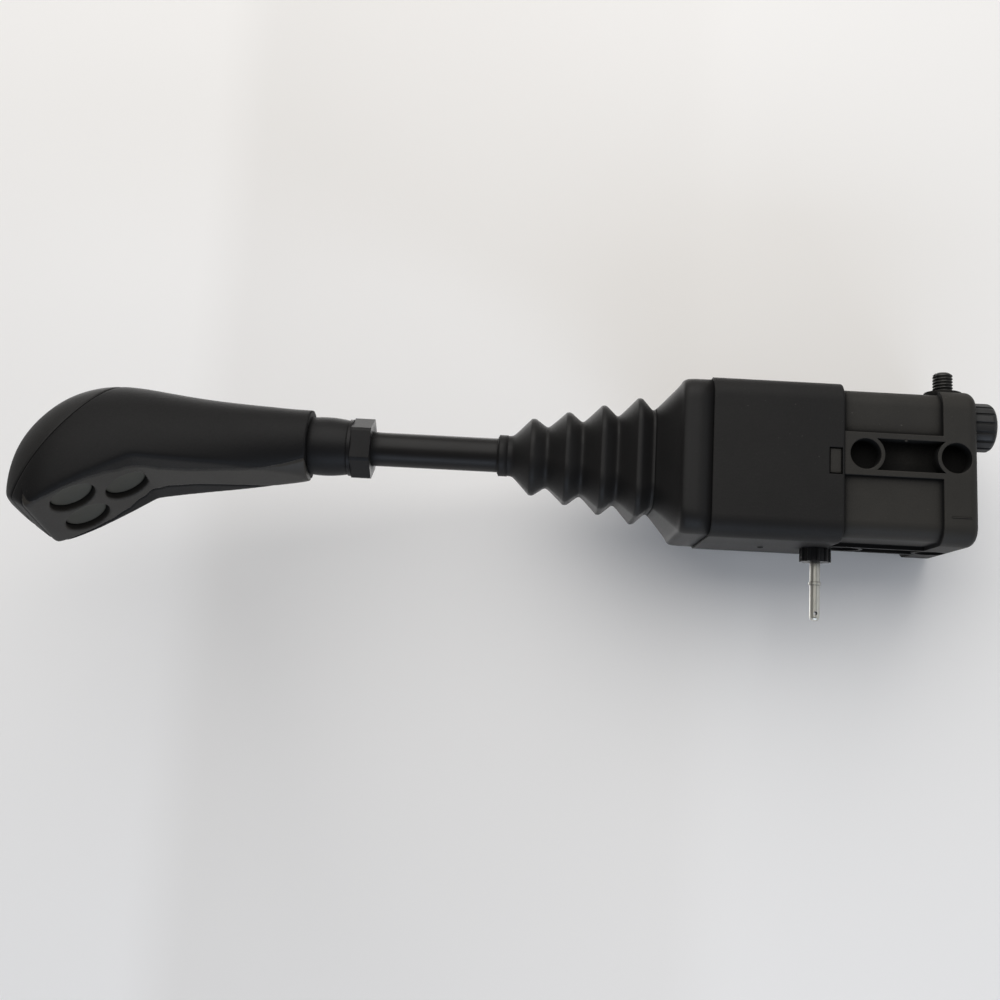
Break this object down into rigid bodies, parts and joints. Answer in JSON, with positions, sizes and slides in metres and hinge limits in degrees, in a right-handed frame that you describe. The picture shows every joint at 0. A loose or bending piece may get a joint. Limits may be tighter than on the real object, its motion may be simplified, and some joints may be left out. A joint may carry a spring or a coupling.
{
  "type": "hydraulic pilot joystick valve",
  "caption": "Two-axis pilot joystick valve with a hooked grip, thumb buttons, folded rubber boot, square housing and a spring-centred gimbal over plungers.",
  "frame": {"origin": "where the lever's axis at rest meets the end face of the base", "axes": "+Z along the lever towards the grip; -X towards the button face and the retaining pin; +X towards the slotted screw; -Y towards the side with the snap window"},
  "size_m": [0.1012, 0.0636, 0.3902],
  "materials": {
    "base_plastic": "charcoal moulded plastic, fine texture",
    "cover_plastic": "charcoal moulded plastic, fine texture",
    "block_metal": "machined",
    "steel": "machined",
    "fitting_plastic": "smooth black",
    "rubber": "matt",
    "dark_steel": "blackened steel",
    "rod_black": "black painted",
    "nut_black": "black oxide",
    "sleeve_plastic": "satin black",
    "boot_rubber": "black rubber",
    "hub_plastic": "black",
    "zinc": "bright zinc",
    "grip_plastic": "textured charcoal",
    "cap_plastic": "satin charcoal",
    "grip_front_plastic": "textured grey-olive",
    "spring_steel": "wire",
    "brass": "turned",
    "button_plastic": "satin grey",
    "switch_plastic": "black"
  },
  "bodies": {
    "valve": {"base_housing": "base_plastic", "cover": "cover_plastic", "valve_block": "block_metal", "guide_plate": "steel", "plate_screws": "steel", "inlet_fitting": "fitting_plastic", "fitting_seal": "rubber", "clamp_screw": "dark_steel", "lower_yoke": "steel", "boot": "boot_rubber", "boot_frame": "cover_plastic", "pin_hub": "hub_plastic", "return_spring_right": "spring_steel", "return_spring_left": "spring_steel", "return_spring_front": "spring_steel", "return_spring_rear": "spring_steel", "plunger_guide_right": "brass", "plunger_guide_left": "brass", "plunger_guide_front": "brass", "plunger_guide_rear": "brass"},
    "cross": {"gimbal_cross": "steel"},
    "lever": {"lever_rod": "rod_black", "upper_yoke": "steel", "actuating_disc": "steel", "disc_nut": "steel", "lock_nut": "nut_black", "washer": "nut_black", "grip_sleeve": "sleeve_plastic", "grip_rear_shell": "grip_plastic", "grip_head_cap": "cap_plastic", "grip_front_shell": "grip_front_plastic", "switch_plate": "cover_plastic", "switch_near": "switch_plastic", "switch_far": "switch_plastic", "switch_lower": "switch_plastic"},
    "pin": {"retaining_pin": "zinc"},
    "plunger_right": {"plunger_right": "steel", "spool_right": "steel"},
    "plunger_left": {"plunger_left": "steel", "spool_left": "steel"},
    "plunger_front": {"plunger_front": "steel", "spool_front": "steel"},
    "plunger_rear": {"plunger_rear": "steel", "spool_rear": "steel"},
    "button_near": {"button_near": "button_plastic"},
    "button_far": {"button_far": "button_plastic"},
    "button_lower": {"button_lower": "button_plastic"}
  },
  "joints": [
    {"name": "tilt_side", "type": "hinge", "parent": "valve", "child": "cross", "pos_m": [0, 0, 0.092], "axis": [1, 0, 0], "range_deg": [-18, 18], "stiffness_Nm_per_rad": 0.6},
    {"name": "tilt_fore", "type": "hinge", "parent": "cross", "child": "lever", "pos_m": [0, 0, 0.092], "axis": [0, 1, 0], "range_deg": [-18, 18], "stiffness_Nm_per_rad": 0.6, "deforming": ["boot"]},
    {"name": "plunger_rear_slide", "type": "slide", "parent": "valve", "child": "plunger_rear", "axis": [0, 0, 1], "range_m": [-0.0051, 0.0051], "deforming": ["return_spring_rear"]},
    {"name": "plunger_front_slide", "type": "slide", "parent": "valve", "child": "plunger_front", "axis": [0, 0, 1], "range_m": [-0.0051, 0.0051], "deforming": ["return_spring_front"]},
    {"name": "plunger_right_slide", "type": "slide", "parent": "valve", "child": "plunger_right", "axis": [0, 0, 1], "range_m": [-0.0051, 0.0051], "deforming": ["return_spring_right"]},
    {"name": "plunger_left_slide", "type": "slide", "parent": "valve", "child": "plunger_left", "axis": [0, 0, 1], "range_m": [-0.0051, 0.0051], "deforming": ["return_spring_left"]},
    {"name": "button_near_press", "type": "slide", "parent": "lever", "child": "button_near", "axis": [0.8187, 0.2348, 0.524], "range_m": [0, 0.0015], "stiffness_N_per_m": 800},
    {"name": "button_far_press", "type": "slide", "parent": "lever", "child": "button_far", "axis": [0.8187, 0.2348, 0.524], "range_m": [0, 0.0015], "stiffness_N_per_m": 800},
    {"name": "button_lower_press", "type": "slide", "parent": "lever", "child": "button_lower", "axis": [0.8187, 0.2348, 0.524], "range_m": [0, 0.0015], "stiffness_N_per_m": 800},
    {"name": "pin_pull", "type": "slide", "parent": "valve", "child": "pin", "axis": [-1, 0, 0], "range_m": [0, 0.007]}
  ],
  "couplings": [
    {"joint": "plunger_rear_slide", "follows": "tilt_side", "m_per_rad": 0.016},
    {"joint": "plunger_front_slide", "follows": "tilt_side", "m_per_rad": -0.016},
    {"joint": "plunger_right_slide", "follows": "tilt_fore", "m_per_rad": -0.016},
    {"joint": "plunger_left_slide", "follows": "tilt_fore", "m_per_rad": 0.016}
  ]
}
